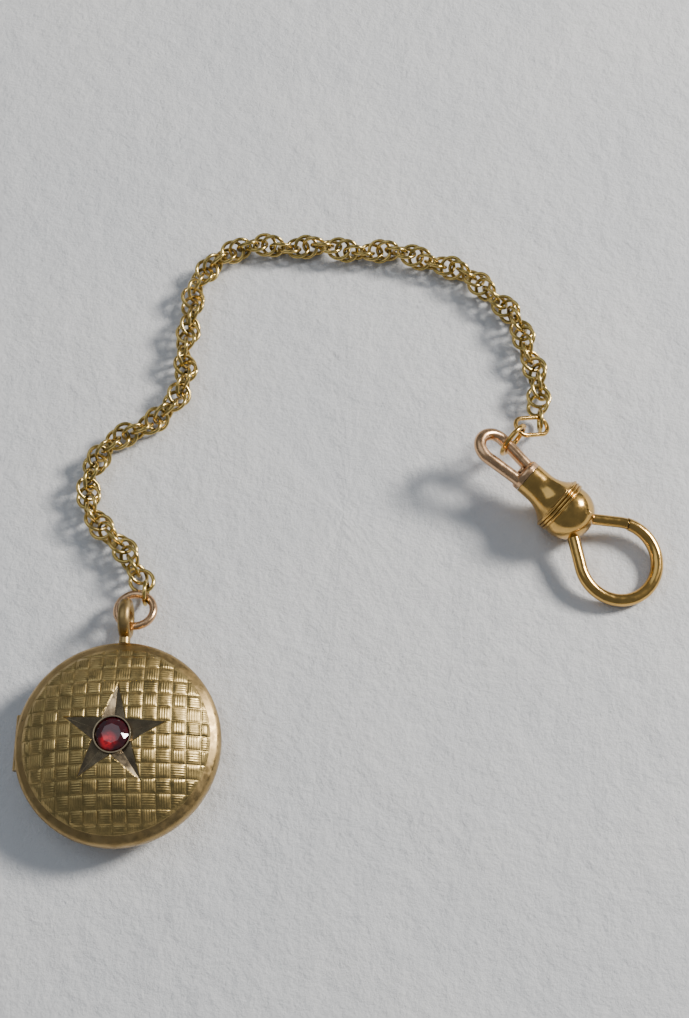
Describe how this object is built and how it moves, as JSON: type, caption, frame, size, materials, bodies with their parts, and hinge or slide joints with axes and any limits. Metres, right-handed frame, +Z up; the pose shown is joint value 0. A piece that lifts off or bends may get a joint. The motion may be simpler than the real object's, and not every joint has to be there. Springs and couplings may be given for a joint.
{
  "type": "pocket watch chain",
  "caption": "Gold rope watch chain with a round hinged locket fob set with a red stone at one end and a swivel dog clip with a sprung gate at the other.",
  "frame": {"origin": "on the table under the middle of the locket, where the flat of the locket back rests", "axes": "+Z is up off the table; +Y runs from the middle of the locket to its bail; +X runs towards the clip"},
  "size_m": [0.0714, 0.0757, 0.0083],
  "materials": {
    "antique_gold": "satin antique gold, engraved",
    "yellow_gold": "polished yellow gold",
    "rose_gold": "polished rose gold",
    "spring_steel": "brushed spring steel",
    "garnet_stone": "faceted dark red stone",
    "clear_glass": "clear polished glass"
  },
  "bodies": {
    "locket": {"locket_back": "antique_gold", "back_bezel": "antique_gold", "back_glass": "clear_glass", "locket_hinge_pin": "antique_gold", "bail": "antique_gold"},
    "locket_cover": {"locket_cover": "antique_gold", "cover_bezel": "antique_gold", "cover_glass": "clear_glass", "stone_setting": "antique_gold", "garnet": "garnet_stone"},
    "clip": {"clip_barrel": "yellow_gold", "clip_collar": "yellow_gold", "clip_bulb": "yellow_gold", "clip_hook": "yellow_gold", "swivel_rivet": "rose_gold", "swivel_washer": "yellow_gold", "gate_pin": "yellow_gold", "gate_spring": "spring_steel"},
    "clip_gate": {"clip_gate": "yellow_gold"},
    "fob_jump_ring": {"fob_jump_ring": "rose_gold"},
    "fob_end_ring": {"fob_end_ring": "yellow_gold"},
    "clip_end_ring": {"clip_end_ring": "yellow_gold"},
    "oval_link": {"oval_link": "yellow_gold"},
    "clip_jump_ring": {"clip_jump_ring": "yellow_gold"},
    "swivel_bow": {"swivel_bow": "rose_gold"},
    "rope_01": {"rope_segment_01": "yellow_gold"},
    "rope_02": {"rope_segment_02": "yellow_gold"},
    "rope_03": {"rope_segment_03": "yellow_gold"},
    "rope_04": {"rope_segment_04": "yellow_gold"},
    "rope_05": {"rope_segment_05": "yellow_gold"},
    "rope_06": {"rope_segment_06": "yellow_gold"},
    "rope_07": {"rope_segment_07": "yellow_gold"},
    "rope_08": {"rope_segment_08": "yellow_gold"},
    "rope_09": {"rope_segment_09": "yellow_gold"},
    "rope_10": {"rope_segment_10": "yellow_gold"},
    "rope_11": {"rope_segment_11": "yellow_gold"},
    "rope_12": {"rope_segment_12": "yellow_gold"},
    "rope_13": {"rope_segment_13": "yellow_gold"},
    "rope_14": {"rope_segment_14": "yellow_gold"},
    "rope_15": {"rope_segment_15": "yellow_gold"},
    "rope_16": {"rope_segment_16": "yellow_gold"},
    "rope_17": {"rope_segment_17": "yellow_gold"},
    "rope_18": {"rope_segment_18": "yellow_gold"},
    "rope_19": {"rope_segment_19": "yellow_gold"},
    "rope_20": {"rope_segment_20": "yellow_gold"},
    "rope_21": {"rope_segment_21": "yellow_gold"},
    "rope_22": {"rope_segment_22": "yellow_gold"},
    "rope_23": {"rope_segment_23": "yellow_gold"},
    "rope_24": {"rope_segment_24": "yellow_gold"},
    "rope_25": {"rope_segment_25": "yellow_gold"}
  },
  "joints": [
    {"name": "cover_hinge", "type": "hinge", "parent": "locket", "child": "locket_cover", "pos_m": [-0.01055, 0, 0.00338], "axis": [0, -1, 0], "range_deg": [0, 95]},
    {"name": "gate_hinge", "type": "hinge", "parent": "clip", "child": "clip_gate", "pos_m": [0.05104, 0.0261, 0.00284], "axis": [-0.1468, 0.1263, -0.9811], "range_deg": [0, 32], "stiffness_Nm_per_rad": 0.00002, "deforming": ["gate_spring"]},
    {"name": "clip_swivel", "type": "hinge", "parent": "swivel_bow", "child": "clip", "pos_m": [0.04507, 0.03045, 0.00429], "axis": [0.7438, -0.6398, -0.1936], "continuous": true},
    {"name": "jump_ring_swing", "type": "hinge", "parent": "locket", "child": "fob_jump_ring", "pos_m": [0, 0.0139, 0.00328], "axis": [1, 0, 0], "range_deg": [-4, 60]},
    {"name": "end_ring_swing", "type": "hinge", "parent": "fob_jump_ring", "child": "fob_end_ring", "pos_m": [0.00182, 0.01693, 0.00209], "axis": [-0.8742, 0.4767, -0.0927], "range_deg": [-8, 8]},
    {"name": "clip_end_ring_swing", "type": "hinge", "parent": "rope_25", "child": "clip_end_ring", "pos_m": [0.04712, 0.03986, 0.00186], "axis": [0.9998, -0.0211, 0], "range_deg": [-5, 5]},
    {"name": "oval_link_swing", "type": "hinge", "parent": "clip_end_ring", "child": "oval_link", "pos_m": [0.04716, 0.03785, 0.00282], "axis": [-0.0143, -0.6742, -0.7385], "range_deg": [-8, 8]},
    {"name": "clip_ring_swing", "type": "hinge", "parent": "oval_link", "child": "clip_jump_ring", "pos_m": [0.04479, 0.0365, 0.00416], "axis": [0.1504, 0.1707, 0.9738], "range_deg": [-8, 8]},
    {"name": "bow_swing", "type": "hinge", "parent": "clip_jump_ring", "child": "swivel_bow", "pos_m": [0.04292, 0.03439, 0.00453], "axis": [-0.669, 0.7278, 0.1509], "range_deg": [-8, 8]},
    {"name": "rope_side_01", "type": "hinge", "parent": "fob_end_ring", "child": "rope_01", "pos_m": [0.00153, 0.01815, 0.00161], "axis": [0, 0, 1], "range_deg": [-5, 5]},
    {"name": "rope_lift_02", "type": "hinge", "parent": "rope_01", "child": "rope_02", "pos_m": [-0.00058, 0.02204, 0.00161], "axis": [-0.7794, -0.6265, 0], "range_deg": [-5, 5]},
    {"name": "rope_side_03", "type": "hinge", "parent": "rope_02", "child": "rope_03", "pos_m": [-0.00336, 0.02506, 0.00161], "axis": [0, 0, -1], "range_deg": [-5, 5]},
    {"name": "rope_lift_04", "type": "hinge", "parent": "rope_03", "child": "rope_04", "pos_m": [-0.00533, 0.02865, 0.00161], "axis": [0.987, 0.1607, 0], "range_deg": [-5, 5]},
    {"name": "rope_side_05", "type": "hinge", "parent": "rope_04", "child": "rope_05", "pos_m": [-0.00516, 0.03275, 0.00161], "axis": [0, 0, 1], "range_deg": [-5, 5]},
    {"name": "rope_lift_06", "type": "hinge", "parent": "rope_05", "child": "rope_06", "pos_m": [-0.00292, 0.03618, 0.00161], "axis": [-0.609, 0.7931, 0], "range_deg": [-5, 5]},
    {"name": "rope_side_07", "type": "hinge", "parent": "rope_06", "child": "rope_07", "pos_m": [0.00067, 0.03821, 0.00161], "axis": [0, 0, -1], "range_deg": [-5, 5]},
    {"name": "rope_lift_08", "type": "hinge", "parent": "rope_07", "child": "rope_08", "pos_m": [0.00363, 0.04106, 0.00161], "axis": [0.8665, -0.4992, 0], "range_deg": [-5, 5]},
    {"name": "rope_side_09", "type": "hinge", "parent": "rope_08", "child": "rope_09", "pos_m": [0.00507, 0.0449, 0.00161], "axis": [0, 0, 1], "range_deg": [-5, 5]},
    {"name": "rope_lift_10", "type": "hinge", "parent": "rope_09", "child": "rope_10", "pos_m": [0.00488, 0.04901, 0.00161], "axis": [-0.9998, 0.0217, 0], "range_deg": [-5, 5]},
    {"name": "rope_side_11", "type": "hinge", "parent": "rope_10", "child": "rope_11", "pos_m": [0.00553, 0.05308, 0.00161], "axis": [0, 0, -1], "range_deg": [-5, 5]},
    {"name": "rope_lift_12", "type": "hinge", "parent": "rope_11", "child": "rope_12", "pos_m": [0.00592, 0.05716, 0.00161], "axis": [0.9278, -0.3731, 0], "range_deg": [-5, 5]},
    {"name": "rope_side_13", "type": "hinge", "parent": "rope_12", "child": "rope_13", "pos_m": [0.00816, 0.0606, 0.00161], "axis": [0, 0, 1], "range_deg": [-5, 5]},
    {"name": "rope_lift_14", "type": "hinge", "parent": "rope_13", "child": "rope_14", "pos_m": [0.01163, 0.0628, 0.00161], "axis": [-0.2511, 0.968, 0], "range_deg": [-5, 5]},
    {"name": "rope_side_15", "type": "hinge", "parent": "rope_14", "child": "rope_15", "pos_m": [0.01571, 0.06286, 0.00161], "axis": [0, 0, -1], "range_deg": [-5, 5]},
    {"name": "rope_lift_16", "type": "hinge", "parent": "rope_15", "child": "rope_16", "pos_m": [0.01983, 0.06305, 0.00161], "axis": [-0.0706, -0.9975, 0], "range_deg": [-5, 5]},
    {"name": "rope_side_17", "type": "hinge", "parent": "rope_16", "child": "rope_17", "pos_m": [0.02388, 0.06234, 0.00161], "axis": [0, 0, 1], "range_deg": [-5, 5]},
    {"name": "rope_lift_18", "type": "hinge", "parent": "rope_17", "child": "rope_18", "pos_m": [0.02797, 0.06235, 0.00161], "axis": [0.0904, 0.9959, 0], "range_deg": [-5, 5]},
    {"name": "rope_side_19", "type": "hinge", "parent": "rope_18", "child": "rope_19", "pos_m": [0.03203, 0.06172, 0.00161], "axis": [0, 0, -1], "range_deg": [-5, 5]},
    {"name": "rope_lift_20", "type": "hinge", "parent": "rope_19", "child": "rope_20", "pos_m": [0.03591, 0.06039, 0.00161], "axis": [-0.3985, -0.9172, 0], "range_deg": [-5, 5]},
    {"name": "rope_side_21", "type": "hinge", "parent": "rope_20", "child": "rope_21", "pos_m": [0.0396, 0.05859, 0.00161], "axis": [0, 0, 1], "range_deg": [-5, 5]},
    {"name": "rope_lift_22", "type": "hinge", "parent": "rope_21", "child": "rope_22", "pos_m": [0.04248, 0.05566, 0.00161], "axis": [0.773, 0.6344, 0], "range_deg": [-5, 5]},
    {"name": "rope_side_23", "type": "hinge", "parent": "rope_22", "child": "rope_23", "pos_m": [0.04504, 0.05243, 0.00161], "axis": [0, 0, -1], "range_deg": [-5, 5]},
    {"name": "rope_lift_24", "type": "hinge", "parent": "rope_23", "child": "rope_24", "pos_m": [0.04616, 0.04847, 0.00161], "axis": [-0.9737, -0.2277, 0], "range_deg": [-5, 5]},
    {"name": "rope_side_25", "type": "hinge", "parent": "rope_24", "child": "rope_25", "pos_m": [0.04729, 0.0445, 0.00161], "axis": [0, 0, 1], "range_deg": [-5, 5]}
  ]
}
